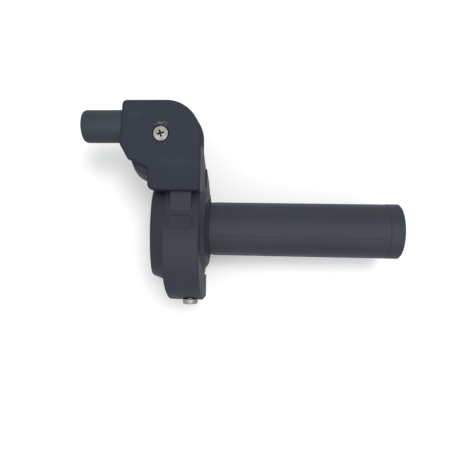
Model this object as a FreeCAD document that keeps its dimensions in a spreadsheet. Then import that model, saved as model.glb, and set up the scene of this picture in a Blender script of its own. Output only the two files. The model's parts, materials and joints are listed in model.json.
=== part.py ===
"""Quick-action throttle for a 22 mm handlebar, drawn as a parametric FreeCAD document.

The handlebar axis is X. The origin lies on it, inside the clamp collar at the inboard end.
+X points outboard along the twist tube, +Y forward along the cable arm, +Z out of the cover's face.
Every driving size is a cell of the sheet "dims", and each sub-part is bound to those cells.
"""
import FreeCAD, Part
import math
import os
import re

import Sketcher
from FreeCAD import Placement, Rotation, Vector

# ---------------------------------------------------------------- driving dimensions (mm)
DIMENSIONS = {
    # clamp collar, drum band and outboard collar, along X
    "clamp_bore": (11.1, "radius of the bore that grips the handlebar"),
    "collar_start": (-3.0, "inboard face of the clamp collar"),
    "collar_rake_top": (22.0, "height at which the raked inboard face reaches X = 0"),
    "collar_small": (22.2, "radius of the clamp collar at its inboard face"),
    "collar_large": (26.0, "radius of the clamp collar where it meets the band"),
    "collar_centre": (-2.0, "how far the clamp collar's centre lies off the bar, in Y and Z"),
    "band_start": (6.2, "inboard face of the drum band"),
    "band_end": (23.6, "outboard face of the drum band"),
    "band_radius": (28.7, "radius of the front of the band"),
    "band_centre_y": (-8.0, "centre of the front of the band, Y"),
    "band_centre_z": (-3.0, "centre of the front of the band, Z"),
    "rear_start": (6.4, "inboard face of the rear band"),
    "rear_end": (22.5, "outboard face of the rear band"),
    "rear_radius": (26.0, "radius of the rear band"),
    "outer_collar": (22.3, "radius of the outboard collar where it meets the band"),
    "outer_small": (18.6, "radius of the outboard collar at its outboard face"),
    "outer_end": (25.5, "outboard face of the outboard collar"),
    "split_gap": (0.5, "gap left between the two housing halves for clamping"),
    "edge_round": (1.2, "rounding of the housing's outer edges"),
    # drum chamber and tube bearing
    "chamber_start": (5.0, "inboard end of the drum chamber"),
    "chamber_end": (20.6, "outboard end of the drum chamber"),
    "chamber_radius": (19.6, "radius of the drum chamber"),
    "bearing_radius": (13.15, "radius of the housing bore round the tube's neck"),
    "seal_seat": (15.0, "radius of the recess that holds the seal"),
    "seal_start": (23.0, "inner end of the seal recess"),
    # arm, seen from above
    "arm_left": (-0.8, "inboard side of the arm"),
    "arm_right": (23.5, "outboard side of the arm"),
    "arm_near": (17.4, "edge of the arm towards the band"),
    "arm_far": (59.2, "far edge of the arm's head"),
    "head_left": (-13.0, "inboard side of the head at its far edge"),
    "head_corner_x": (-14.2, "corner where the head turns back towards the arm, X"),
    "head_corner_y": (38.7, "corner where the head turns back towards the arm, Y"),
    "notch_x": (-10.1, "outer corner of the notch, X"),
    "notch_y": (31.6, "outer corner of the notch, Y"),
    "notch_inner": (28.0, "inner corner of the notch, Y"),
    "crown_round": (16.0, "radius of the head's big outboard corner"),
    "face_round": (1.6, "rounding round the cover's face"),
    "skirt_split": (39.0, "where the deep skirt round the pulley ends, Y"),
    # arm, heights
    "floor_low": (9.0, "underside of the arm's head"),
    "floor_high": (11.0, "inside floor of the pulley chamber"),
    "shoulder_high": (21.7, "shoulder that the shallow skirt stops above"),
    "rim_high": (23.4, "top of the chamber wall"),
    "plate_low": (24.2, "underside of the cover plate"),
    "face_high": (26.0, "cover face"),
    "skirt": (1.9, "thickness of the cover's skirt"),
    "fit_gap": (0.15, "gap between the cover and what it fits over"),
    "arm_slope_low": (31.0, "where the arm's underside starts to rise, Y"),
    "arm_slope_high": (37.2, "where the arm's underside levels out, Y"),
    "bulge_x": (-1.0, "centre of the cone beside the notch, X"),
    "bulge_y": (33.5, "centre of the cone beside the notch, Y"),
    "bulge_low": (11.2, "radius of that cone at the head's underside"),
    "bulge_high": (8.6, "radius of that cone at the shoulder"),
    # cable path
    "drum_pitch": (16.5, "radius at which the cable lies on the drum, and its height in the arm"),
    "pulley_pitch": (5.0, "radius at which the cable lies on the guide pulley"),
    "pulley_x": (5.3, "guide pulley axis, X"),
    "pulley_y": (43.5, "guide pulley axis, Y"),
    "duct_width": (3.0, "width of the cable duct"),
    "duct_height": (2.6, "height of the cable duct under its roof"),
    "pad_start": (9.4, "inboard side of the raised duct roof"),
    "pad_end": (19.3, "outboard side of the raised duct roof"),
    "pad_high": (21.5, "top of the raised duct roof"),
    "saddle_start": (2.0, "where the saddle between the band and the arm leaves the band, Y"),
    "saddle_high": (23.88, "height of the saddle there"),
    "saddle_low": (18.0, "height of the saddle against the arm"),
    # outlet
    "outlet_end": (-33.8, "free end of the outlet sleeve"),
    "outlet_radius": (7.85, "outside radius of the outlet sleeve"),
    "spigot_end": (-17.5, "end of the housing's spigot inside the sleeve"),
    "spigot_radius": (6.0, "outside radius of the spigot"),
    "adjuster_radius": (4.0, "outside radius of the adjuster's thread"),
    "casing_socket": (2.75, "radius of the socket for the cable casing"),
    # twist tube
    "tube_bore": (11.3, "radius of the tube's bore, running on the bar"),
    "tube_start": (5.4, "inner end of the tube"),
    "neck_radius": (13.0, "radius of the tube inside the housing"),
    "neck_end": (27.0, "shoulder where the tube gets its full radius"),
    "tube_radius": (13.3, "radius of the tube between its ribs"),
    "rib_radius": (13.5, "radius over the ribs"),
    "rib_round": (0.45, "radius of a rib's rounded crest"),
    "rib_end": (113.1, "where the ribs stop"),
    "rib_count": (10, "number of ribs"),
    "seat_start": (113.6, "where the plain seat at the free end starts"),
    "seat_radius": (13.58, "radius of that seat"),
    "tube_end": (120.1, "free end of the tube"),
    # drum on the tube
    "drum_start": (7.1, "inboard face of the drum"),
    "drum_rim": (18.3, "radius of the drum's flanges"),
    "hub_start": (13.4, "where the drum's friction hub starts"),
    "hub_end": (19.7, "outboard face of the drum"),
    "hub_radius": (15.5, "radius of the friction hub"),
    "cable_radius": (0.75, "radius of the inner cable"),
    # fasteners
    "clamp_near_x": (10.0, "clamp screw beside the band's toe, X"),
    "clamp_near_y": (-29.0, "clamp screw beside the band's toe, Y"),
    "clamp_far_x": (12.0, "clamp screw under the arm, X"),
    "clamp_far_y": (26.5, "clamp screw under the arm, Y"),
    "lug_face": (-36.5, "outer face of the rear half's near lug, Y"),
    "clamp_near_seat": (-9.0, "seat of the near clamp screw's washer, Z"),
    "clamp_far_seat": (-3.6, "seat of the far clamp screw's washer, Z"),
    "clamp_shank": (2.5, "radius of a clamp screw's shank"),
    "clamp_reach": (8.0, "how far a clamp screw reaches above the split"),
    "friction_x": (17.2, "friction screw axis, X"),
    "friction_z": (4.5, "friction screw axis, Z"),
    "friction_seat": (-35.4, "seat of the friction screw's head, Y"),
    "small_shank": (1.95, "shank radius of the cover and friction screws"),
    "insert_radius": (3.0, "outside radius of the small threaded inserts"),
}

doc = FreeCAD.newDocument("throttle_grip")

NO_TURN = Rotation()
ALONG_X = Rotation(Vector(0, 1, 0), 90)
ALONG_Y = Rotation(Vector(1, 0, 0), -90)
BEYOND = 60.0       # longer than any wall that a cut has to pass
SAME_PLACE = 0.01   # two points closer than this are the same corner


# ---------------------------------------------------------------- document helpers
def make_sheet():
    """Put every driving dimension in the spreadsheet, with its meaning beside it."""
    sheet = doc.addObject("Spreadsheet::Sheet", "dims")
    for row, (alias, (value, meaning)) in enumerate(DIMENSIONS.items(), start=1):
        sheet.set(f"A{row}", meaning)
        sheet.set(f"B{row}", str(value))
        sheet.setAlias(f"B{row}", alias)
    doc.recompute()
    return sheet


def formula(text):
    """Turn a sum over the sheet's aliases, such as "arm_left + 2", into an expression."""
    return re.sub(r"[a-z_]+", lambda word: "dims." + word.group(), str(text))


def bind(target, prefix="", **sizes):
    """Tie properties of a document object to formulas over the sheet."""
    for name, text in sizes.items():
        target.setExpression(prefix + name, formula(text))


class Piece:
    """One sub-part: a PartDesign body whose features take their sizes from the sheet."""

    def __init__(self, label, x=0, y=0, z=0, turn=NO_TURN):
        self.body = doc.addObject("PartDesign::Body", label)
        self.body.Label = label
        self.body.Placement = Placement(Vector(), turn)
        bind(self.body, "Placement.Base.", x=x, y=y, z=z)
        self.volume = 0.0

    def settle(self, feature):
        """Recompute, and make sure that the feature really added or removed material."""
        self.body.Tip = feature
        doc.recompute()
        volume = feature.Shape.Volume
        if abs(volume - self.volume) < 1e-6:
            raise RuntimeError(f"{self.body.Label}: {feature.Label} changes nothing")
        self.volume = volume
        return feature

    def primitive(self, kind, x, y, z, turn, sizes):
        feature = self.body.newObject("PartDesign::" + kind, kind)
        feature.Placement = Placement(Vector(), turn)
        bind(feature, "Placement.Base.", x=x, y=y, z=z)
        bind(feature, **sizes)
        return self.settle(feature)

    def rod(self, radius, length, x=0, y=0, z=0, turn=NO_TURN, cut=False):
        kind = "SubtractiveCylinder" if cut else "AdditiveCylinder"
        return self.primitive(kind, x, y, z, turn, {"Radius": radius, "Height": length})

    def cone(self, start_radius, end_radius, length, x=0, y=0, z=0, turn=NO_TURN):
        sizes = {"Radius1": start_radius, "Radius2": end_radius, "Height": length}
        return self.primitive("AdditiveCone", x, y, z, turn, sizes)

    def block(self, length, width, height, x=0, y=0, z=0, turn=NO_TURN, cut=False):
        kind = "SubtractiveBox" if cut else "AdditiveBox"
        return self.primitive(kind, x, y, z, turn, {"Length": length, "Width": width, "Height": height})

    def outline(self, plane, points, offset=0):
        """A closed sketch of straight lines through points given as pairs of formulas."""
        sketch = self.body.newObject("Sketcher::SketchObject", "outline")
        origin = next(f for f in self.body.Origin.OriginFeatures if f.Role == plane)
        sketch.AttachmentSupport = (origin, [""])
        sketch.MapMode = "FlatFace"
        bind(sketch, "AttachmentOffset.Base.", z=offset)
        count = len(points)
        turns = [2 * math.pi * i / count for i in range(count)]
        corners = [Vector(math.cos(turn), math.sin(turn), 0) for turn in turns]
        for i in range(count):
            sketch.addGeometry(Part.LineSegment(corners[i], corners[(i + 1) % count]))
        for i in range(count):
            sketch.addConstraint(Sketcher.Constraint("Coincident", i, 2, (i + 1) % count, 1))
        for i, point in enumerate(points):
            for kind, text, start in zip(("DistanceX", "DistanceY"), point, corners[i]):
                row = sketch.addConstraint(Sketcher.Constraint(kind, -1, 1, i, 1, start))
                sketch.setExpression(f"Constraints[{row}]", formula(text))
        doc.recompute()
        return sketch

    def extrude(self, sketch, length, cut=False, flip=False):
        feature = self.body.newObject("PartDesign::Pocket" if cut else "PartDesign::Pad", "extrude")
        feature.Profile = sketch
        feature.Reversed = flip
        bind(feature, Length=length)
        return self.settle(feature)

    def cut_through(self, sketch):
        """Remove a sketch's outline from one side of the piece to the other."""
        feature = self.body.newObject("PartDesign::Pocket", "through")
        feature.Profile = sketch
        feature.Midplane = True
        feature.Type = "ThroughAll"
        return self.settle(feature)

    def revolve(self, points):
        """Turn a profile, given as (radius, height) formulas, about the piece's own Z axis."""
        sketch = self.outline("XZ_Plane", points)
        feature = self.body.newObject("PartDesign::Revolution", "turned")
        feature.Profile = sketch
        feature.ReferenceAxis = (sketch, ["V_Axis"])
        feature.Angle = 360
        return self.settle(feature)

    def repeat(self, feature, count):
        """Repeat a feature evenly about the piece's own Z axis."""
        axis = next(f for f in self.body.Origin.OriginFeatures if f.Role == "Z_Axis")
        pattern = self.body.newObject("PartDesign::PolarPattern", "pattern")
        pattern.Originals = [feature]
        pattern.Axis = (axis, [""])
        pattern.Angle = 360
        bind(pattern, Occurrences=count)
        return self.settle(pattern)

    def round_edges(self, radius, chosen):
        """Fillet the edges for which chosen(edge) is true."""
        base = self.body.Tip
        edges = [f"Edge{i}" for i, edge in enumerate(base.Shape.Edges, start=1) if chosen(edge)]
        if not edges:
            raise RuntimeError(f"{self.body.Label}: no edge to round")
        fillet = self.body.newObject("PartDesign::Fillet", "rounding")
        fillet.Base = (base, edges)
        bind(fillet, Radius=radius)
        return self.settle(fillet)

    def round_corners(self, sketch, radii):
        """Round the upright edges over a sketch's corners, numbered as its points are."""
        for corner, radius in radii.items():
            point = sketch.Placement.multVec(sketch.Geometry[corner].StartPoint)
            normal = sketch.Placement.Rotation.multVec(Vector(0, 0, 1))
            self.round_edges(radius, lambda edge: stands_on(edge, point, normal))


def stands_on(edge, point, normal):
    """Whether an edge is a line along normal that passes through point."""
    if len(edge.Vertexes) != 2:
        return False
    offsets = [(vertex.Point - point).cross(normal).Length for vertex in edge.Vertexes]
    return max(offsets) < SAME_PLACE


def edge_middle(edge):
    return edge.valueAt((edge.FirstParameter + edge.LastParameter) / 2)


def lies_at(edge, axis, value):
    """Whether all of an edge lies in the plane where the given coordinate has this value."""
    box = edge.BoundBox
    low, high = {"x": (box.XMin, box.XMax), "y": (box.YMin, box.YMax), "z": (box.ZMin, box.ZMax)}[axis]
    return abs(low - value) < SAME_PLACE and abs(high - value) < SAME_PLACE


def group(label, pieces):
    """Identical fasteners as separate solids of one node."""
    compound = doc.addObject("Part::Compound", label)
    compound.Label = label
    compound.Links = [piece.body for piece in pieces]
    doc.recompute()
    return compound


def ring(label, inner, outer, length, **place):
    """A plain turned ring from its own origin along its own Z axis."""
    piece = Piece(label, **place)
    piece.rod(outer, length)
    piece.rod(inner, f"{length} + 2", z=-1, cut=True)
    return piece.body


sheet = make_sheet()


def size(alias):
    """A driving dimension as a number, read back from the sheet."""
    return float(sheet.get(alias))


# ---------------------------------------------------------------- shapes shared by several pieces
def arm_outline(inset):
    """The arm's corners seen from above, moved inwards by inset.

    They run from the near inboard corner round the outboard side, and end at the notch.
    """
    return [
        (f"arm_left + {inset}", f"arm_near + {inset}"),
        (f"arm_right - ({inset})", f"arm_near + {inset}"),
        (f"arm_right - ({inset})", "arm_far - crown_round"),
        ("arm_right - crown_round", f"arm_far - ({inset})"),
        (f"head_left + {inset}", f"arm_far - ({inset})"),
        (f"head_corner_x + {inset}", f"head_corner_y + 0.3 * ({inset})"),
        (f"notch_x + 0.66 * ({inset})", f"notch_y + 0.81 * ({inset})"),
        (f"arm_left + {inset}", f"notch_inner + 0.68 * ({inset})"),
    ]


def arm_prism(piece, inset, low, high, cut=False, rounds=()):
    """The arm's outline, moved inwards by inset, between two heights: added, or hollowed out.

    The big outboard corner is a cylinder between the outline's two straight sides.
    """
    sketch = piece.outline("XY_Plane", arm_outline(inset), offset=low)
    piece.extrude(sketch, f"{high} - ({low})", cut=cut, flip=cut)
    piece.rod(f"crown_round - ({inset})", f"{high} - ({low})", x="arm_right - crown_round",
              y="arm_far - crown_round", z=low, cut=cut)
    piece.round_corners(sketch, dict(rounds))


CHAMBER_OUTLINE = [
    ("head_left + 4", "arm_far - 4"),
    ("head_corner_x + 4.2", "head_corner_y + 2"),
    ("notch_x + 3.2", "arm_slope_high - 1.2"),
    ("arm_right - 4", "arm_slope_high - 1.2"),
    ("arm_right - 4", "arm_far - crown_round"),
    ("arm_right - crown_round", "arm_far - 4"),
]
CABLE_X = "pulley_x + pulley_pitch"
OUTLET_Y = "pulley_y + pulley_pitch"

# where the two dowels stand, X and Y
DOWEL_PLACES = [(20.0, -23.6), (4.0, 24.6)]


def cut_chamber(piece, low):
    """The pulley chamber, whose far outboard corner follows the head's big round corner."""
    sketch = piece.outline("XY_Plane", CHAMBER_OUTLINE, offset=low)
    piece.extrude(sketch, BEYOND, cut=True, flip=True)
    piece.rod("crown_round - 4", BEYOND, x="arm_right - crown_round", y="arm_far - crown_round",
              z=low, cut=True)


def cut_duct(piece, height):
    """The cable's way from the drum to the pulley: roofed by the pad, open under the cover."""
    low = "drum_pitch - duct_height / 2"
    piece.block("duct_width", "arm_slope_high - 10", "duct_height",
                x=f"{CABLE_X} - duct_width / 2", y=10, z=low, cut=True)
    piece.block("duct_width", "arm_slope_high - arm_near - 2", height,
                x=f"{CABLE_X} - duct_width / 2", y="arm_near + 2", z=low, cut=True)


def cut_bores(piece):
    """Drum chamber, handlebar bore, tube bearing and seal recess, all about the bar axis."""
    piece.rod("chamber_radius", "chamber_end - chamber_start", x="chamber_start", turn=ALONG_X, cut=True)
    piece.rod("clamp_bore", BEYOND, x="chamber_start + 1 - 60", turn=ALONG_X, cut=True)
    piece.rod("bearing_radius", BEYOND, x="chamber_end - 1", turn=ALONG_X, cut=True)
    piece.rod("seal_seat", BEYOND, x="seal_start", turn=ALONG_X, cut=True)


def cut_dowel_holes(piece):
    """Two blind holes that straddle the split, for the locating dowels."""
    for x, y in DOWEL_PLACES:
        piece.rod(1.5, 5.7, x=x, y=y, z=-3.5, cut=True)


# ---------------------------------------------------------------- housing
def housing_front():
    """Front half: band, arm, pulley chamber, cable duct and outlet spigot."""
    piece = Piece("housing_front")
    piece.cone("collar_small", "collar_large", "band_start - collar_start + 0.5",
               x="collar_start", y="collar_centre", z="collar_centre", turn=ALONG_X)
    rake = piece.outline("XZ_Plane", [
        ("collar_start", 0),
        ("collar_start - 0.01", -BEYOND),
        ("collar_start - 9", -BEYOND),
        ("collar_start - 9", BEYOND),
        ("-collar_start", "2 * collar_rake_top"),
    ])
    piece.cut_through(rake)
    piece.round_edges("edge_round", on_raked_rim)

    piece.rod("band_radius", "band_end - band_start",
              x="band_start", y="band_centre_y", z="band_centre_z", turn=ALONG_X)
    for face in (size("band_start"), size("band_end")):
        piece.round_edges("edge_round", lambda edge: lies_at(edge, "x", face) and on_band(edge))
    piece.cone("outer_collar", "outer_small", "outer_end - band_end + 1", x="band_end - 1", turn=ALONG_X)
    piece.round_edges(0.8, lambda edge: lies_at(edge, "x", size("outer_end")))

    side = piece.outline("YZ_Plane", [
        (8, 0),
        ("arm_slope_low", 0),
        ("arm_slope_high", "floor_low"),
        ("skirt_split", "floor_low"),
        ("skirt_split", "shoulder_high"),
        ("arm_near", "shoulder_high"),
        ("arm_near", 10),
        (8, 10),
    ], offset="arm_left")
    piece.extrude(side, "arm_right - arm_left")
    piece.round_edges(3, lambda edge: stands_on(edge, arm_corner(), Vector(0, 0, 1)))

    arm_prism(piece, 0, "floor_low", "floor_high", rounds={4: 2.2, 5: 2.6})
    piece.cone("bulge_low", "bulge_high", "shoulder_high - floor_low",
               x="bulge_x", y="bulge_y", z="floor_low")
    piece.round_edges(2.5, on_bulge_top)
    arm_prism(piece, "skirt + fit_gap", "floor_high - 0.5", "rim_high")

    piece.rod("spigot_radius", "-spigot_end - 8", x="spigot_end", y=OUTLET_Y, z="drum_pitch", turn=ALONG_X)
    saddle = piece.outline("YZ_Plane", [
        ("saddle_start", 14),
        ("saddle_start", "saddle_high"),
        ("arm_near + 0.5", "saddle_low"),
        ("arm_near + 0.5", 14),
    ], offset="band_start + 0.35")
    piece.extrude(saddle, "band_end - band_start - 0.7")
    piece.block("pad_end - pad_start", "arm_near - 5", "pad_high - 12", x="pad_start", y=6, z=12)
    cut_chamber(piece, "floor_high")
    piece.rod(5, "floor_high - 2", x="pulley_x", y="pulley_y", z="floor_low - 4.8")
    piece.rod("insert_radius", 5.5, x="pulley_x", y="pulley_y", z="floor_low - 5", cut=True)
    piece.rod("small_shank + 0.15", BEYOND, x="pulley_x", y="pulley_y", z="floor_low - 5", cut=True)
    piece.rod("adjuster_radius + 0.05", "-spigot_end - 4", x="spigot_end - 1", y=OUTLET_Y,
              z="drum_pitch", turn=ALONG_X, cut=True)
    cut_duct(piece, "rim_high - drum_pitch + duct_height")
    cut_bores(piece)

    piece.block(120, 160, BEYOND, x=-50, y=-80, z="split_gap / 2 - 60", cut=True)
    for name in ("near", "far"):
        piece.rod("clamp_shank + 0.9", "clamp_reach + 0.5 + 1", x=f"clamp_{name}_x", y=f"clamp_{name}_y",
                  z=-1, cut=True)
    cut_dowel_holes(piece)
    piece.rod(4.2, 10, x="friction_x", y="friction_seat - 10", z="friction_z", turn=ALONG_Y, cut=True)
    piece.rod("insert_radius", 5.1, x="friction_x", y="friction_seat + 1", z="friction_z",
              turn=ALONG_Y, cut=True)
    piece.rod(2.25, 18, x="friction_x", y="friction_seat", z="friction_z", turn=ALONG_Y, cut=True)
    return piece.body


def on_raked_rim(edge):
    """Whether an edge is the curved rim of the collar's raked face, above the split."""
    point = edge_middle(edge)
    raked_x = size("collar_start") * (1 - point.z / size("collar_rake_top"))
    return point.z > 1 and abs(point.x - raked_x) < SAME_PLACE


def on_bulge_top(edge):
    """Whether an edge is the open part of the rim round the top of the cone beside the notch."""
    point = edge_middle(edge)
    from_axis = math.hypot(point.x - size("bulge_x"), point.y - size("bulge_y"))
    return lies_at(edge, "z", size("shoulder_high")) and abs(from_axis - size("bulge_high")) < SAME_PLACE


def on_band(edge):
    """Whether an edge belongs to the band's outline and not to the collar inside it."""
    middle = edge_middle(edge)
    return math.hypot(middle.y - size("band_centre_y"), middle.z - size("band_centre_z")) > 27


def arm_corner():
    return Vector(size("arm_left"), size("arm_near"), 0)


def housing_rear():
    """Rear half: the clamp shell, with a boss and a lug for the two clamp screws."""
    piece = Piece("housing_rear")
    piece.cone("collar_small", "rear_radius - 1.8", "rear_start - collar_start + 0.5",
               x="collar_start", y="collar_centre", turn=ALONG_X)
    piece.round_edges("edge_round", lambda edge: lies_at(edge, "x", size("collar_start")))
    piece.rod("rear_radius", "rear_end - rear_start", x="rear_start", y="collar_centre", turn=ALONG_X)
    for face in (size("rear_start"), size("rear_end")):
        piece.round_edges("edge_round", lambda edge: lies_at(edge, "x", face) and on_rear_band(edge))
    piece.cone("outer_collar", "outer_small", "outer_end - rear_end + 0.5", x="rear_end - 0.5", turn=ALONG_X)
    piece.round_edges(0.8, lambda edge: lies_at(edge, "x", size("outer_end")))
    lug = piece.outline("YZ_Plane", [
        (8, 0),
        ("arm_slope_low - 0.4", 0),
        ("arm_slope_low - 5.8", -10),
        (20, -16),
        (15, -20.5),
        (8, -24),
    ], offset="arm_left")
    piece.extrude(lug, "arm_right - arm_left + 0.6")
    piece.block("band_end - rear_start", 12, "-clamp_near_seat", x="rear_start", y="lug_face",
                z="clamp_near_seat")
    for x in (size("rear_start"), size("band_end")):
        corner = Vector(x, size("lug_face"), 0)
        piece.round_edges(1, lambda edge: stands_on(edge, corner, Vector(0, 0, 1)))
    piece.rod(5.2, BEYOND, x="clamp_near_x", y="clamp_near_y", z="clamp_near_seat - 60", cut=True)
    piece.rod(5.2, BEYOND, x="clamp_far_x", y="clamp_far_y", z="clamp_far_seat - 60", cut=True)
    for name in ("near", "far"):
        piece.rod("clamp_shank + 0.15", BEYOND, x=f"clamp_{name}_x", y=f"clamp_{name}_y", z=-30, cut=True)
    cut_bores(piece)
    piece.block(120, 160, BEYOND, x=-50, y=-80, z="-split_gap / 2", cut=True)
    cut_dowel_holes(piece)
    return piece.body


def on_rear_band(edge):
    middle = edge_middle(edge)
    return math.hypot(middle.y - size("collar_centre"), middle.z) > size("rear_radius") - 0.1


# ---------------------------------------------------------------- cover and its parts
def pulley_cover():
    """Lid over the pulley and duct: a deep skirt round the head, a shallow one beside the duct."""
    piece = Piece("pulley_cover")
    arm_prism(piece, 0, "floor_high + fit_gap", "face_high",
              rounds={0: 2.9, 1: 2.0, 4: 2.2, 5: 2.6, 6: 1.5, 7: 2.4})
    piece.round_edges("face_round", lambda edge: lies_at(edge, "z", size("face_high")))
    piece.block(60, "skirt_split - 10", "shoulder_high - floor_high", x=-25, y=10,
                z="floor_high + fit_gap", cut=True)
    arm_prism(piece, "skirt", "floor_high", "plate_low", cut=True)
    piece.rod(4.6, "plate_low - 19.85 + 0.5", x="pulley_x", y="pulley_y", z=19.85)
    piece.rod("small_shank + 0.15", BEYOND, x="pulley_x", y="pulley_y", z=0, cut=True)
    piece.rod(3.9, 10, x="pulley_x", y="pulley_y", z="plate_low", cut=True)
    piece.rod("spigot_radius + fit_gap", 12, x=-18, y=OUTLET_Y, z="drum_pitch", turn=ALONG_X, cut=True)
    piece.block(12, "2 * spigot_radius + 2 * fit_gap", "drum_pitch - floor_high", x=-18,
                y=f"{OUTLET_Y} - spigot_radius - fit_gap", z="floor_high", cut=True)
    return piece.body


def cover_gasket():
    """Flat seal between the chamber's rim and the cover plate."""
    piece = Piece("cover_gasket")
    arm_prism(piece, "skirt + 0.3", "rim_high", "plate_low")
    cut_chamber(piece, "rim_high - 1")
    piece.block("duct_width", "arm_slope_high - arm_near - 4", 5, x=f"{CABLE_X} - duct_width / 2",
                y="arm_near + 4", z="rim_high - 1", cut=True)
    return piece.body


def phillips_screw(label, head_radius, head_height, shank, length, **place):
    """A domed cross-recess screw. Its origin is under its head, which stands along its own +Z."""
    piece = Piece(label, **place)
    piece.revolve([
        (0, f"-({length})"),
        (f"{shank} - 0.4", f"-({length})"),
        (shank, f"-({length}) + 0.5"),
        (shank, 0),
        (head_radius, 0),
        (head_radius, f"{head_height} * 0.35"),
        (f"{head_radius} * 0.82", f"{head_height} * 0.75"),
        (f"{head_radius} * 0.45", head_height),
        (0, f"{head_height} * 1.06"),
    ])
    for length_x, length_y in (("0.9", f"{head_radius} * 1.1"), (f"{head_radius} * 1.1", "0.9")):
        piece.block(length_x, length_y, head_height, x=f"-({length_x}) / 2", y=f"-({length_y}) / 2",
                    z=f"{head_height} * 0.45", cut=True)
    return piece


def cover_screw():
    return phillips_screw("cover_screw", 3.7, 2.2, "small_shank", "plate_low - floor_low + 4.4",
                          x="pulley_x", y="pulley_y", z="plate_low").body


def cover_screw_insert():
    return ring("cover_screw_insert", "small_shank + 0.05", "insert_radius", 5.1,
                x="pulley_x", y="pulley_y", z="floor_low - 4.7")


# ---------------------------------------------------------------- guide pulley
def pulley_bush():
    return ring("pulley_bush", "small_shank + 0.1", 2.9, 6.6, x="pulley_x", y="pulley_y", z=13.22)


def guide_pulley():
    """Grooved wheel that turns the cable from the duct into the outlet."""
    piece = Piece("guide_pulley", x="pulley_x", y="pulley_y", z="drum_pitch")
    groove = "pulley_pitch - cable_radius"
    piece.revolve([
        (2.95, -2.75), (7, -2.75), (7, -2), (groove, -0.7),
        (groove, 0.7), (7, 2), (7, 2.75), (2.95, 2.75),
    ])
    return piece.body


def pulley_washers():
    heights = (13.22, 19.3)
    return group("pulley_washers", [pulley_washer(height) for height in heights])


def pulley_washer(height):
    piece = Piece("pulley_washer", x="pulley_x", y="pulley_y", z=height)
    piece.rod(6, 0.5)
    piece.rod(2.93, 2, z=-1, cut=True)
    return piece


# ---------------------------------------------------------------- twist tube and drum
FIRST_RIB = 159.4   # degrees about the tube's axis
KEY_WIDTH = 3.0
NIPPLE_ANGLE = 195.0


def throttle_tube():
    """Ribbed twist tube that runs on the handlebar."""
    piece = Piece("throttle_tube", turn=ALONG_X)
    piece.revolve([
        ("tube_bore", "tube_start"), ("neck_radius", "tube_start"),
        ("neck_radius", 6), ("neck_radius - 0.7", 6), ("neck_radius - 0.7", 7), ("neck_radius", 7),
        ("neck_radius", "neck_end - 0.3"), ("tube_radius", "neck_end"),
        ("tube_radius", "seat_start - 0.3"), ("seat_radius", "seat_start"),
        ("seat_radius", "tube_end - 0.7"), ("seat_radius - 0.7", "tube_end"), ("tube_bore", "tube_end"),
    ])
    turn = math.radians(FIRST_RIB)
    rib = piece.rod("rib_round", "rib_end - neck_end - 1",
                    x=f"(rib_radius - rib_round) * {math.cos(turn):.5f}",
                    y=f"(rib_radius - rib_round) * {math.sin(turn):.5f}", z="neck_end + 1")
    piece.repeat(rib, "rib_count")
    piece.block(2, KEY_WIDTH, "hub_end - drum_start", x="neck_radius - 0.8", y=-KEY_WIDTH / 2,
                z="drum_start", cut=True)
    return piece.body


def cable_drum():
    """Drum that winds the cable: groove and flanges, then the hub that the friction shoe rubs."""
    piece = Piece("cable_drum", turn=ALONG_X)
    groove = "drum_pitch - cable_radius"
    piece.revolve([
        ("neck_radius + 0.03", "drum_start"), ("drum_rim", "drum_start"),
        ("drum_rim", f"{CABLE_X} - 1.8"), (groove, f"{CABLE_X} - 0.8"),
        (groove, f"{CABLE_X} + 0.8"), ("drum_rim", f"{CABLE_X} + 1.8"),
        ("drum_rim", "hub_start"), ("hub_radius", "hub_start"),
        ("hub_radius", "hub_end"), ("neck_radius + 0.03", "hub_end"),
    ])
    piece.block(2.3, KEY_WIDTH, "hub_end - drum_start + 2", x="neck_radius - 1", y=-KEY_WIDTH / 2,
                z="drum_start - 1", cut=True)
    turn = math.radians(NIPPLE_ANGLE)
    piece.rod(2.0, "hub_start - drum_start + 0.2", x=f"drum_pitch * {math.cos(turn):.5f}",
              y=f"drum_pitch * {math.sin(turn):.5f}", z="drum_start - 0.1", cut=True)
    return piece.body


def drum_key():
    """Parallel key that locks the drum to the tube."""
    piece = Piece("drum_key", turn=ALONG_X)
    piece.block(2.0, KEY_WIDTH - 0.04, "hub_end - drum_start - 0.2", x="neck_radius - 0.78",
                y=-KEY_WIDTH / 2 + 0.02, z="drum_start + 0.1")
    return piece.body


def retaining_ring():
    """Snap ring in the tube's groove, which keeps the drum on."""
    piece = Piece("retaining_ring", turn=ALONG_X)
    piece.rod(14.8, 0.9, z=6.05)
    piece.rod("neck_radius - 0.68", 3, z=5, cut=True)
    piece.block(6, 6, 3, x=-16, y=-3, z=5, cut=True)
    return piece.body


def thrust_washer():
    return ring("thrust_washer", "neck_radius + 0.1", "drum_rim", 0.7, x="hub_end + 0.1", turn=ALONG_X)


def tube_seal():
    """Lip seal in the outboard collar. Its lip covers the gap in front of the tube's shoulder."""
    piece = Piece("tube_seal", turn=ALONG_X)
    inner = "neck_radius + 0.05"
    piece.revolve([
        (inner, "seal_start + 0.05"), ("seal_seat - 0.05", "seal_start + 0.05"),
        ("seal_seat - 0.05", "outer_end - 0.5"), ("seal_seat - 0.6", "outer_end - 0.1"),
        ("neck_radius + 0.6", "neck_end - 0.5"), (inner, "neck_end - 0.5"),
    ])
    return piece.body


# ---------------------------------------------------------------- clamp fasteners
CLAMPS = (("near", "clamp_near"), ("far", "clamp_far"))
WASHER_THICK = 0.9


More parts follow.
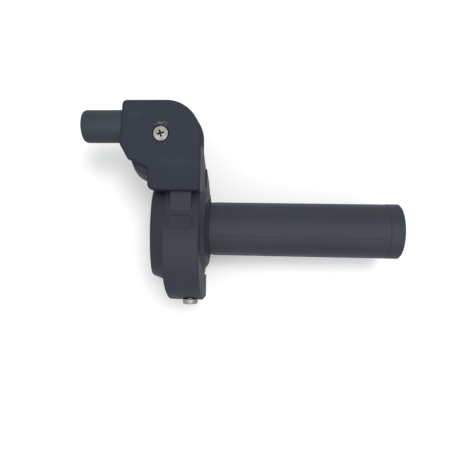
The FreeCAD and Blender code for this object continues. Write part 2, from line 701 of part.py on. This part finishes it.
def clamp_screws():
    upside_down = Rotation(Vector(1, 0, 0), 180)
    return group("clamp_screws", [
        phillips_screw("clamp_screw_" + name, 4.3, 2.8, "clamp_shank",
                       f"clamp_reach - {place}_seat + {WASHER_THICK}",
                       x=f"{place}_x", y=f"{place}_y", z=f"{place}_seat - {WASHER_THICK}",
                       turn=upside_down)
        for name, place in CLAMPS])


def clamp_washers():
    return group("clamp_washers", [clamp_washer(name, place) for name, place in CLAMPS])


def clamp_washer(name, place):
    piece = Piece("clamp_washer_" + name, x=f"{place}_x", y=f"{place}_y", z=f"{place}_seat - {WASHER_THICK}")
    piece.rod(4.8, WASHER_THICK)
    piece.rod("clamp_shank + 0.1", 4, z=-2, cut=True)
    return piece


def clamp_inserts():
    return group("clamp_inserts", [clamp_insert(name, place) for name, place in CLAMPS])


def clamp_insert(name, place):
    piece = Piece("clamp_insert_" + name, x=f"{place}_x", y=f"{place}_y", z="split_gap / 2")
    piece.rod("clamp_shank + 0.9", "clamp_reach")
    piece.rod("clamp_shank + 0.05", 20, z=-5, cut=True)
    return piece


def locating_dowels():
    return group("locating_dowels", [locating_dowel(x, y) for x, y in DOWEL_PLACES])


def locating_dowel(x, y):
    piece = Piece("locating_dowel", x=x, y=y, z=-3.2)
    piece.rod(1.5, 5.2)
    return piece


# ---------------------------------------------------------------- twist friction
def friction_screw():
    facing_out = Rotation(Vector(1, 0, 0), 90)
    return phillips_screw("friction_screw", 3.75, 2.7, "small_shank", 8.4,
                          x="friction_x", y="friction_seat", z="friction_z", turn=facing_out).body


def friction_insert():
    return ring("friction_insert", "small_shank + 0.05", "insert_radius", 5,
                x="friction_x", y="friction_seat + 1", z="friction_z", turn=ALONG_Y)


def friction_spring():
    """Compression spring between the friction screw and the shoe."""
    coil = doc.addObject("Part::Helix", "friction_coil")
    coil.Pitch = 1.25
    coil.Height = 4.6
    coil.Radius = 1.6
    wire = doc.addObject("Part::Circle", "friction_wire")
    wire.Radius = 0.32
    wire.Placement = Placement(Vector(1.6, 0, 0), Rotation(Vector(1, 0, 0), 90))
    spring = doc.addObject("Part::Sweep", "friction_spring")
    spring.Label = "friction_spring"
    spring.Sections = [wire]
    spring.Spine = (coil, ["Edge1"])
    spring.Solid = True
    spring.Frenet = True
    spring.Placement = Placement(Vector(), ALONG_Y)
    bind(spring, "Placement.Base.", x="friction_x", y="friction_seat + 8.8", z="friction_z")
    doc.recompute()
    return spring


def friction_shoe():
    """Plug pressed on the drum's hub, hollowed to the hub's curve."""
    piece = Piece("friction_shoe")
    piece.rod(2.2, 9, x="friction_x", y="friction_seat + 13.8", z="friction_z", turn=ALONG_Y)
    piece.rod("hub_radius + 0.05", 30, x=0, turn=ALONG_X, cut=True)
    return piece.body


# ---------------------------------------------------------------- cable outlet
def outlet_sleeve():
    """Sleeve over the spigot and the adjuster, with a lip round its open end."""
    piece = Piece("outlet_sleeve", y=OUTLET_Y, z="drum_pitch", turn=ALONG_X)
    piece.revolve([
        ("adjuster_radius + 1.3", "outlet_end"), ("outlet_radius - 1.5", "outlet_end"),
        ("outlet_radius - 0.45", "outlet_end + 0.45"), ("outlet_radius", "outlet_end + 1.5"),
        ("outlet_radius", "head_left + 1"), ("spigot_radius + 0.05", "head_left + 1"),
        ("spigot_radius + 0.05", "outlet_end + 1.5"), ("adjuster_radius + 1.3", "outlet_end + 1.5"),
    ])
    beside_cover = piece.outline("YZ_Plane", [
        (f"arm_far - ({OUTLET_Y})", "head_left - 0.1"),
        (f"head_corner_y - ({OUTLET_Y})", "head_corner_x - 0.1"),
        (f"head_corner_y - ({OUTLET_Y})", "head_corner_x + 20"),
        (f"arm_far - ({OUTLET_Y})", "head_left + 20"),
    ])
    piece.cut_through(beside_cover)
    return piece.body


def cable_adjuster():
    """Hollow screw in the spigot that takes the end of the cable's casing."""
    piece = Piece("cable_adjuster", y=OUTLET_Y, z="drum_pitch", turn=ALONG_X)
    piece.revolve([
        ("casing_socket", "outlet_end + 2"), ("adjuster_radius + 0.9", "outlet_end + 2"),
        ("adjuster_radius + 0.9", "outlet_end + 7"), ("adjuster_radius", "outlet_end + 7"),
        ("adjuster_radius", "spigot_end + 7"), (1.1, "spigot_end + 7"),
        (1.1, "outlet_end + 10"), ("casing_socket", "outlet_end + 10"),
    ])
    return piece.body


def adjuster_locknut():
    """Hexagon nut that locks the adjuster against the spigot."""
    across_corners = 5.7
    piece = Piece("adjuster_locknut", x="spigot_end - 3.3", y=OUTLET_Y, z="drum_pitch", turn=ALONG_X)
    turns = [math.radians(60 * i) for i in range(6)]
    corners = [(across_corners * math.cos(turn), across_corners * math.sin(turn)) for turn in turns]
    hexagon = piece.outline("XY_Plane", [(round(x, 4), round(y, 4)) for x, y in corners])
    piece.extrude(hexagon, 3.2)
    piece.rod("adjuster_radius + 0.05", 6, z=-1, cut=True)
    return piece.body


# ---------------------------------------------------------------- build, check and write
SUBPARTS = [
    housing_front, housing_rear, pulley_cover, cover_gasket, cover_screw, cover_screw_insert,
    pulley_bush, guide_pulley, pulley_washers, throttle_tube, cable_drum, drum_key, retaining_ring,
    thrust_washer, tube_seal, clamp_screws, clamp_washers, clamp_inserts, locating_dowels,
    friction_screw, friction_insert, friction_spring, friction_shoe,
    outlet_sleeve, cable_adjuster, adjuster_locknut,
]


def main():
    nodes = [make() for make in SUBPARTS]
    doc.recompute()
    failed = [item.Label for item in doc.Objects if {"Invalid", "Error"} & set(item.State)]
    if failed:
        raise RuntimeError(f"objects that did not compute: {failed}")
    os.makedirs("parts", exist_ok=True)
    for node in nodes:
        shape = node.Shape
        if shape.isNull() or not shape.isValid():
            raise RuntimeError(f"{node.Label} has no valid shape")
        shape.exportStep(f"parts/{node.Label}.step")
        print(f"{node.Label}: {len(shape.Solids)} solid(s), {shape.Volume:.1f} mm3")


main()
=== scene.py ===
"""Quick-action throttle for a 22 mm handlebar: materials, screws, light and camera over the CAD frame."""
import json
import math

import bpy
from mathutils import Matrix, Vector


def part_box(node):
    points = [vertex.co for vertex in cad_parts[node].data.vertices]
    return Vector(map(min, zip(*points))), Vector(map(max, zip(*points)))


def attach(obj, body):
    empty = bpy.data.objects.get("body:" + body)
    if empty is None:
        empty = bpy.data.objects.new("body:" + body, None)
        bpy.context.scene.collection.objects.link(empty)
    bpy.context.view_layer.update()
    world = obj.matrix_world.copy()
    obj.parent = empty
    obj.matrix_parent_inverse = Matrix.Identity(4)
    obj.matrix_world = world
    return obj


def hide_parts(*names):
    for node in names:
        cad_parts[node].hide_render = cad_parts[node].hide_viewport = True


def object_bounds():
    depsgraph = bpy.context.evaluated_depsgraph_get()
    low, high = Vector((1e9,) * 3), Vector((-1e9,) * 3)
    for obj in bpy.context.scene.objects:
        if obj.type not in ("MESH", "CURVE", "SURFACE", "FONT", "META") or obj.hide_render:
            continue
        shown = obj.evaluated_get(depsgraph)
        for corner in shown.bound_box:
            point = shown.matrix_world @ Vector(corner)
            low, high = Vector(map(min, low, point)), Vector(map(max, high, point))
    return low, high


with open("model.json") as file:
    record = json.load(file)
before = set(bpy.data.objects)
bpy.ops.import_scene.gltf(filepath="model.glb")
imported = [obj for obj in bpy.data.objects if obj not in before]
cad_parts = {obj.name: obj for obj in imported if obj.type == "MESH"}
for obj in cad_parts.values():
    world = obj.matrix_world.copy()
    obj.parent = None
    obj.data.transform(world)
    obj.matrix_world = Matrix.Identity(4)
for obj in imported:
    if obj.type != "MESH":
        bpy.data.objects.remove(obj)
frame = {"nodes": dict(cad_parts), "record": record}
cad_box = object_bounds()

MM = 0.001
scene = bpy.context.scene


# ---------------------------------------------------------------- shader building
class Shader:
    """One procedural material, built node by node around a Principled surface."""

    def __init__(self, name, color, roughness, **sockets):
        self.material = bpy.data.materials.new(name)
        self.material.use_nodes = True
        self.tree = self.material.node_tree
        self.surface = self.tree.nodes["Principled BSDF"]
        self.surface.inputs["Base Color"].default_value = (*color, 1)
        self.surface.inputs["Roughness"].default_value = roughness
        for socket, value in sockets.items():
            self.surface.inputs[socket.replace("_", " ")].default_value = value
        self.place = self.node("ShaderNodeTexCoord").outputs["Object"]
        self.last_normal = None

    def node(self, kind, **settings):
        made = self.tree.nodes.new(kind)
        for key, value in settings.items():
            if key in made.inputs:
                made.inputs[key].default_value = value
            else:
                setattr(made, key, value)
        return made

    def link(self, output, socket):
        self.tree.links.new(output, socket)

    def stretched(self, x, y, z):
        """Object coordinates scaled along each axis, for grain with a direction."""
        mapping = self.node("ShaderNodeMapping")
        mapping.inputs["Scale"].default_value = (x, y, z)
        self.link(self.place, mapping.inputs["Vector"])
        return mapping.outputs["Vector"]

    def noise(self, scale, detail=3.0, place=None):
        """Noise whose blobs are about 1/scale metres across."""
        made = self.node("ShaderNodeTexNoise", Scale=scale, Detail=detail)
        self.link(place or self.place, made.inputs["Vector"])
        return made.outputs["Fac"]

    def spread(self, value, low, high, to_low, to_high):
        """Maps low..high onto to_low..to_high, and holds the ends."""
        made = self.node("ShaderNodeMapRange")
        for index, number in enumerate((low, high, to_low, to_high), start=1):
            made.inputs[index].default_value = number
        self.link(value, made.inputs[0])
        return made.outputs["Result"]

    def math(self, operation, first, second):
        made = self.node("ShaderNodeMath", operation=operation)
        for index, value in enumerate((first, second)):
            if isinstance(value, (int, float)):
                made.inputs[index].default_value = value
            else:
                self.link(value, made.inputs[index])
        return made.outputs["Value"]

    def mix(self, amount, first, second):
        """A colour between two: each is a tuple or a socket."""
        made = self.node("ShaderNodeMix", data_type="RGBA")
        self.link(amount, made.inputs["Factor"])
        for index, value in ((6, first), (7, second)):
            if isinstance(value, tuple):
                made.inputs[index].default_value = (*value, 1)
            else:
                self.link(value, made.inputs[index])
        return made.outputs[2]

    def axes(self, centre):
        """Distance along each axis from a centre, as three sockets."""
        offset = self.node("ShaderNodeVectorMath", operation="SUBTRACT")
        self.link(self.place, offset.inputs[0])
        offset.inputs[1].default_value = centre
        parts = self.node("ShaderNodeSeparateXYZ")
        self.link(offset.outputs[0], parts.inputs[0])
        return [self.math("ABSOLUTE", parts.outputs[axis], 0) for axis in "XYZ"]

    def blob(self, centre, extents):
        """1 inside an ellipsoid, fading to 0 at its surface."""
        squares = [self.math("POWER", self.math("DIVIDE", part, extent), 2)
                   for part, extent in zip(self.axes(centre), extents)]
        total = self.math("ADD", self.math("ADD", squares[0], squares[1]), squares[2])
        return self.spread(total, 0.25, 1.0, 1, 0)

    def frame_line(self, centre, half_width, half_height):
        """A thin line round a rectangle with rounded corners, drawn on top of what faces +Z."""
        corner, thick = 0.0016, 0.00028
        along, across, up = self.axes(centre)
        x = self.math("MAXIMUM", self.math("SUBTRACT", along, half_width - corner), 0)
        y = self.math("MAXIMUM", self.math("SUBTRACT", across, half_height - corner), 0)
        reach = self.math("SQRT", self.math("ADD", self.math("POWER", x, 2), self.math("POWER", y, 2)), 0)
        off_line = self.math("ABSOLUTE", self.math("SUBTRACT", reach, corner), 0)
        line = self.spread(off_line, thick * 0.6, thick, 1, 0)
        near = self.spread(up, 0.006, 0.007, 1, 0)
        return self.math("MULTIPLY", line, near)

    def bump(self, height, strength, distance):
        made = self.node("ShaderNodeBump", Strength=strength, Distance=distance)
        self.link(height, made.inputs["Height"])
        if self.last_normal is not None:
            self.link(self.last_normal, made.inputs["Normal"])
        self.last_normal = made.outputs["Normal"]
        self.link(self.last_normal, self.surface.inputs["Normal"])

    def color(self, socket):
        self.link(socket, self.surface.inputs["Base Color"])

    def roughness(self, socket):
        self.link(socket, self.surface.inputs["Roughness"])


def moulded_plastic(name, color, roughness, grain=1.0, marks=1.0, scuff=None, emblem=None, **sockets):
    """Satin moulded plastic: fine spark grain, slow colour drift, a few rub marks and specks of dust.

    scuff is (centre, half extents) of a whitish tool mark, emblem (centre, half width, half height)
    of a plain sunken frame, its line darkened as painted shade in the groove.
    """
    shader = Shader(name, color, roughness, **sockets)
    drift = shader.spread(shader.noise(22, 4), 0.35, 0.65, 0, 1)
    paler = tuple(min(1, value * 1.22) for value in color)
    tone = shader.mix(drift, color, paler)

    rubs = shader.noise(90, 6, shader.stretched(0.35, 1.6, 1.0))
    rub_mask = shader.spread(rubs, 0.63, 0.74, 0, 0.30 * marks)
    dusty = tuple(value * 1.9 + 0.012 for value in color)
    tone = shader.mix(rub_mask, tone, dusty)

    specks = shader.noise(2600, 1)
    speck_mask = shader.spread(specks, 0.735, 0.76, 0, 0.35 * marks)
    tone = shader.mix(speck_mask, tone, (0.16, 0.165, 0.17))
    if scuff:
        fine = shader.noise(1100, 5, shader.stretched(0.8, 1.3, 1))
        scratches = shader.spread(fine, 0.50, 0.68, 0, 0.75)
        tone = shader.mix(shader.math("MULTIPLY", shader.blob(*scuff), scratches), tone, (0.25, 0.25, 0.245))
    if emblem:
        line = shader.frame_line(*emblem)
        # the frame's line is painted darker: painted shade in the sunken groove
        tone = shader.mix(shader.math("MULTIPLY", line, 0.35), tone, tuple(value * 0.5 for value in color))
        shader.bump(shader.math("SUBTRACT", 1.0, line), 0.6, 0.00025)
    shader.color(tone)

    polish = shader.spread(shader.noise(48, 4), 0.3, 0.7, roughness - 0.05, roughness + 0.06)
    shader.roughness(shader.math("ADD", polish, shader.math("MULTIPLY", rub_mask, 0.25)))
    shader.bump(shader.noise(3200, 2), 0.16 * grain, 0.00006)
    shader.bump(shader.noise(140, 3), 0.05, 0.0004)
    return shader.material


def extruded_plastic(name, color, roughness, **sockets):
    """Smooth extruded plastic: faint drawing lines along the axis and a slow change of gloss round it."""
    shader = Shader(name, color, roughness, **sockets)
    lines = shader.noise(700, 3, shader.stretched(0.02, 1, 1))
    drift = shader.spread(shader.noise(30, 4), 0.35, 0.65, 0, 1)
    tone = shader.mix(drift, color, tuple(value * 1.18 for value in color))
    specks = shader.spread(shader.noise(2200, 1), 0.74, 0.765, 0, 0.3)
    shader.color(shader.mix(specks, tone, (0.15, 0.155, 0.16)))
    shader.roughness(shader.spread(lines, 0.3, 0.7, roughness - 0.04, roughness + 0.05))
    shader.bump(lines, 0.10, 0.00008)
    shader.bump(shader.noise(2600, 2), 0.10, 0.00004)
    return shader.material


def plated_steel(name, color, roughness):
    """Zinc-plated steel: short brushed streaks, slight yellowing and dull patches."""
    shader = Shader(name, color, roughness, Metallic=1.0)
    patches = shader.spread(shader.noise(380, 5), 0.4, 0.68, 0, 1)
    dull = tuple(value * factor for value, factor in zip(color, (0.62, 0.60, 0.55)))
    tone = shader.mix(patches, color, dull)
    shader.color(tone)
    streaks = shader.noise(3000, 3, shader.stretched(0.3, 1.4, 1))
    shader.roughness(shader.spread(streaks, 0.3, 0.7, roughness - 0.07, roughness + 0.12))
    shader.bump(streaks, 0.12, 0.00005)
    return shader.material


def knurled_brass(name):
    """Brass with the fine cross-hatched look of a knurled insert."""
    color = (0.60, 0.42, 0.17)
    shader = Shader(name, color, 0.34, Metallic=1.0)
    wave = shader.node("ShaderNodeTexWave", Scale=1400.0, Distortion=0.4)
    shader.link(shader.stretched(1, 0.9, 0.6), wave.inputs["Vector"])
    tarnish = shader.spread(shader.noise(260, 4), 0.4, 0.7, 0, 1)
    shader.color(shader.mix(tarnish, color, (0.33, 0.22, 0.10)))
    shader.roughness(shader.spread(tarnish, 0, 1, 0.28, 0.5))
    shader.bump(wave.outputs["Fac"], 0.25, 0.0001)
    return shader.material


def acetal(name):
    """Natural white acetal: slightly waxy, with a few machining rings."""
    color = (0.72, 0.71, 0.67)
    shader = Shader(name, color, 0.38)
    drift = shader.spread(shader.noise(60, 3), 0.35, 0.65, 0, 1)
    shader.color(shader.mix(drift, color, (0.62, 0.60, 0.55)))
    shader.roughness(shader.spread(shader.noise(400, 3), 0.3, 0.7, 0.32, 0.46))
    shader.bump(shader.noise(1500, 2), 0.08, 0.00005)
    return shader.material


def rubber(name):
    """Black moulded rubber with a dusty bloom."""
    color = (0.015, 0.018, 0.024)
    shader = Shader(name, color, 0.62)
    bloom = shader.spread(shader.noise(160, 5), 0.45, 0.75, 0, 0.5)
    shader.color(shader.mix(bloom, color, (0.030, 0.035, 0.045)))
    shader.roughness(shader.spread(bloom, 0, 0.5, 0.56, 0.74))
    shader.bump(shader.noise(2400, 3), 0.2, 0.00006)
    return shader.material


def anodised(name):
    """Dull dark anodised aluminium with turning marks across its axis."""
    color = (0.20, 0.205, 0.21)
    shader = Shader(name, color, 0.42, Metallic=1.0)
    rings = shader.noise(1500, 2, shader.stretched(1, 0.03, 0.03))
    shader.color(shader.mix(shader.spread(rings, 0.35, 0.65, 0, 1), color, (0.13, 0.135, 0.14)))
    shader.roughness(shader.spread(rings, 0.3, 0.7, 0.36, 0.5))
    shader.bump(rings, 0.15, 0.00005)
    return shader.material


# a whitish tool mark just forward of the cover screw, and a plain frame sunk in the top of the band, its
# line painted darker as shade
low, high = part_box("guide_pulley")
PULLEY_AXIS = low.lerp(high, 0.5)
COVER_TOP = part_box("pulley_cover")[1].z
SCUFF = ((PULLEY_AXIS.x + 0.0006, PULLEY_AXIS.y + 0.0041, COVER_TOP), (0.0034, 0.0015, 0.002))
EMBLEM = ((0.0145, 0.0030, 0.0235), 0.0056, 0.0030)

# one finish for each material slot of the record
FINISH = {
    "body_plastic": moulded_plastic("body_plastic_satin", (0.0245, 0.029, 0.039), 0.40, emblem=EMBLEM,
                                    Specular_IOR_Level=0.42),
    "cover_plastic": moulded_plastic("cover_plastic_matte", (0.029, 0.0345, 0.047), 0.50, marks=0.8,
                                     scuff=SCUFF, Specular_IOR_Level=0.0, Coat_Weight=0.14,
                                     Coat_Roughness=0.42),
    "tube_plastic": extruded_plastic("tube_plastic_smooth", (0.029, 0.034, 0.046), 0.34,
                                     Specular_IOR_Level=0.42),
    "sleeve_plastic": moulded_plastic("sleeve_plastic_satin", (0.029, 0.038, 0.050), 0.40, marks=0.6,
                                      Specular_IOR_Level=0.42),
    "bright_screw": plated_steel("screw_zinc", (0.66, 0.65, 0.62), 0.34),
    "steel_part": plated_steel("steel_plain", (0.42, 0.42, 0.42), 0.36),
    "alloy_adjuster": anodised("adjuster_anodised"),
    "brass_insert": knurled_brass("insert_brass"),
    "acetal": acetal("acetal_white"),
    "black_rubber": rubber("seal_rubber"),
}
# the walls of each cross recess take a dark steel: painted shade inside the recess
RECESS_PAINTED_SHADE = plated_steel("screw_recess_painted_shade", (0.16, 0.15, 0.135), 0.55)
SLOT_OF = {part["node"]: part["material_slot"] for part in frame["record"]["subparts"]}

for name, node in frame["nodes"].items():
    node.data.materials.clear()
    node.data.materials.append(FINISH[SLOT_OF[name]])


# ---------------------------------------------------------------- screws with real recesses
def turned(profile, segments=72):
    """A closed mesh of revolution about Z, through (radius, height) points that start and end on it."""
    vertices, faces, rings = [], [], []
    for radius, height in profile:
        if radius == 0:
            rings.append([len(vertices)])
            vertices.append((0, 0, height))
            continue
        rings.append(list(range(len(vertices), len(vertices) + segments)))
        for i in range(segments):
            angle = 2 * math.pi * i / segments
            vertices.append((radius * math.cos(angle), radius * math.sin(angle), height))
    for low, high in zip(rings, rings[1:]):
        for i in range(segments):
            j = (i + 1) % segments
            if len(low) == 1:
                faces.append((low[0], high[j], high[i]))
            elif len(high) == 1:
                faces.append((low[i], low[j], high[0]))
            else:
                faces.append((low[i], low[j], high[j], high[i]))
    mesh = bpy.data.meshes.new("turned")
    mesh.from_pydata(vertices, [], faces)
    return mesh


def tapered_bar(half_length, half_width, depth, top):
    """A bar that narrows towards its foot, as one wing pair of a cross recess."""
    above = 0.5
    foot = (top - depth, half_length * 0.32, half_width * 0.72)
    mouth = (top + above, half_length, half_width)
    corners = [(-1, -1), (1, -1), (1, 1), (-1, 1)]
    vertices = [(x * along, y * across, height)
                for height, along, across in (foot, mouth) for x, y in corners]
    faces = [(3, 2, 1, 0), (4, 5, 6, 7), (0, 1, 5, 4), (1, 2, 6, 5), (2, 3, 7, 6), (3, 0, 4, 7)]
    mesh = bpy.data.meshes.new("wing")
    mesh.from_pydata(vertices, [], faces)
    return mesh


def screw_profile(radius, head, shank, length):
    """Half a pan head screw as (radius, height) points, with the underside of the head at height 0."""
    rim, shoulder = 0.55 * head, 0.88 * head
    points = [(0, -length), (shank - 0.4, -length), (shank, -length + 0.5), (shank, 0)]
    points += [(radius - 0.12, 0), (radius, 0.12)]
    for step in range(9):
        angle = math.radians(90 * step / 8)
        inset = 0.10 * (1 - math.cos(angle))
        points.append((radius * (1 - inset), rim + (shoulder - rim) * math.sin(angle)))
    points += [(radius * 0.62, head * 0.95), (radius * 0.3, head * 0.99), (0, head)]
    return points


def cut_recess(screw, radius, head, turn):
    """Cut a cross recess in a screw's head, its walls in a dark steel that is painted shade, and return the
    finished mesh.
    """
    cutters = []
    for quarter in (0, 90):
        cutter = bpy.data.objects.new("cutter", tapered_bar(radius * 0.60, 0.50, head * 0.72, head))
        cutter.rotation_euler.z = math.radians(turn + quarter)
        cutter.data.materials.append(RECESS_PAINTED_SHADE)
        scene.collection.objects.link(cutter)
        modifier = screw.modifiers.new("recess", "BOOLEAN")
        modifier.object = cutter
        modifier.solver = "EXACT"
        modifier.material_mode = "TRANSFER"
        cutters.append(cutter)
    bpy.context.view_layer.update()
    finished = screw.evaluated_get(bpy.context.evaluated_depsgraph_get())
    mesh = bpy.data.meshes.new_from_object(finished)
    screw.modifiers.clear()
    for cutter in cutters:
        bpy.data.objects.remove(cutter)
    return mesh


def cross_screw(node, radius, head, shank, length, place, axis, turn):
    """Stand a cross-recess screw, sized in millimetres, at place along axis instead of a CAD screw."""
    screw = bpy.data.objects.new(node + "_head", turned(screw_profile(radius, head, shank, length)))
    screw.data.materials.append(FINISH["bright_screw"])
    scene.collection.objects.link(screw)
    mesh = cut_recess(screw, radius, head, turn)
    screw.data = mesh
    stand = Vector(axis).to_track_quat("Z", "Y").to_matrix().to_4x4()
    mesh.transform(Matrix.Translation(place) @ stand @ Matrix.Scale(MM, 4))
    for face in mesh.polygons:
        face.use_smooth = True
    mesh.set_sharp_from_angle(angle=math.radians(32))
    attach(screw, "housing")
    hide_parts(node)


# each head sits as deep as the CAD screw's, measured from the outermost point of its dome
SMALL_SHANK = 1.95
COVER_HEAD_DEPTH = 0.00233
FRICTION_HEAD_DEPTH = 0.00286
low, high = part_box("cover_screw")
cross_screw("cover_screw", 3.6, 2.1, SMALL_SHANK, 19.5,
            (PULLEY_AXIS.x, PULLEY_AXIS.y, high.z - COVER_HEAD_DEPTH), (0, 0, 1), 15)
low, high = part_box("friction_screw")
middle = low.lerp(high, 0.5)
cross_screw("friction_screw", 3.75, 2.8, SMALL_SHANK, 7.4,
            (middle.x, low.y + FRICTION_HEAD_DEPTH, middle.z), (0, -1, 0), 30)

# ---------------------------------------------------------------- floor, light and camera
def soft_light(name, place, target, side, power):
    """A square light that gives light and shadow but no highlight, like a polarised softbox."""
    data = bpy.data.lights.new(name, "AREA")
    data.shape = "SQUARE"
    data.size = side
    data.energy = power
    lamp = bpy.data.objects.new(name, data)
    lamp.location = place
    lamp.rotation_euler = (Vector(target) - Vector(place)).to_track_quat("-Z", "Y").to_euler()
    lamp.visible_glossy = False
    scene.collection.objects.link(lamp)


def floor():
    """A plain white table top under the part, wide enough for every view, with a faint glow."""
    height = cad_box[0][2]
    half = 1.6
    corners = [(-half, -half, height), (half, -half, height), (half, half, height), (-half, half, height)]
    mesh = bpy.data.meshes.new("floor")
    mesh.from_pydata(corners, [], [(0, 1, 2, 3)])
    table = bpy.data.objects.new("floor", mesh)
    scene.collection.objects.link(table)
    shader = Shader("table_white", (0.86, 0.86, 0.86), 0.7)
    shader.surface.inputs["Emission Color"].default_value = (1, 1, 1, 1)
    shader.surface.inputs["Emission Strength"].default_value = 0.22
    shader.roughness(shader.spread(shader.noise(8, 3), 0.3, 0.7, 0.66, 0.76))
    mesh.materials.append(shader.material)
    table.visible_glossy = False


def studio_world(zenith, horizon, brightest, bend_low, bend_high):
    """A pale tent: brightest about one direction overhead and dimmer away from it."""
    world = bpy.data.worlds.new("studio")
    world.use_nodes = True
    tree = world.node_tree
    direction = tree.nodes.new("ShaderNodeTexCoord").outputs["Generated"]
    nearness = tree.nodes.new("ShaderNodeVectorMath")
    nearness.operation = "DOT_PRODUCT"
    tree.links.new(direction, nearness.inputs[0])
    nearness.inputs[1].default_value = Vector(brightest).normalized()
    level = tree.nodes.new("ShaderNodeMapRange")
    level.interpolation_type = "SMOOTHSTEP"
    for index, number in enumerate((bend_low, bend_high, horizon, zenith), start=1):
        level.inputs[index].default_value = number
    tree.links.new(nearness.outputs["Value"], level.inputs[0])
    background = tree.nodes["Background"]
    background.inputs["Color"].default_value = (0.97, 0.985, 1.0, 1)
    tree.links.new(level.outputs["Result"], background.inputs["Strength"])
    scene.world = world


MIDDLE = (0.04, 0.0, 0.0)
floor()
soft_light("key_softbox", (0.30, 0.26, 1.0), MIDDLE, side=0.34, power=5.6)
studio_world(zenith=1.02, horizon=0.42, brightest=(0.1, -0.22, 1.0), bend_low=0.50, bend_high=0.99)

# the camera looks straight down over the tube, turned slightly about Y and rolled slightly
CAMERA_PLACE = Vector((0.05065, 0.00141, 0.2306))
CAMERA_TURN = math.radians(4.05)
CAMERA_ROLL = math.radians(0.95)
right = Vector((math.cos(CAMERA_TURN), 0, -math.sin(CAMERA_TURN)))
back = Vector((math.sin(CAMERA_TURN), 0, math.cos(CAMERA_TURN)))
up = Vector((0, 1, 0))
camera_right = math.cos(CAMERA_ROLL) * right + math.sin(CAMERA_ROLL) * up
camera_up = math.cos(CAMERA_ROLL) * up - math.sin(CAMERA_ROLL) * right
camera_data = bpy.data.cameras.new("camera")
camera_data.lens = 36
camera_data.sensor_width = 36
camera_data.clip_start = 0.01
camera = bpy.data.objects.new("camera", camera_data)
turn = Matrix((camera_right, camera_up, back)).transposed()
camera.matrix_world = Matrix.Translation(CAMERA_PLACE) @ turn.to_4x4()
scene.collection.objects.link(camera)
scene.camera = camera
scene.view_settings.view_transform = "Standard"
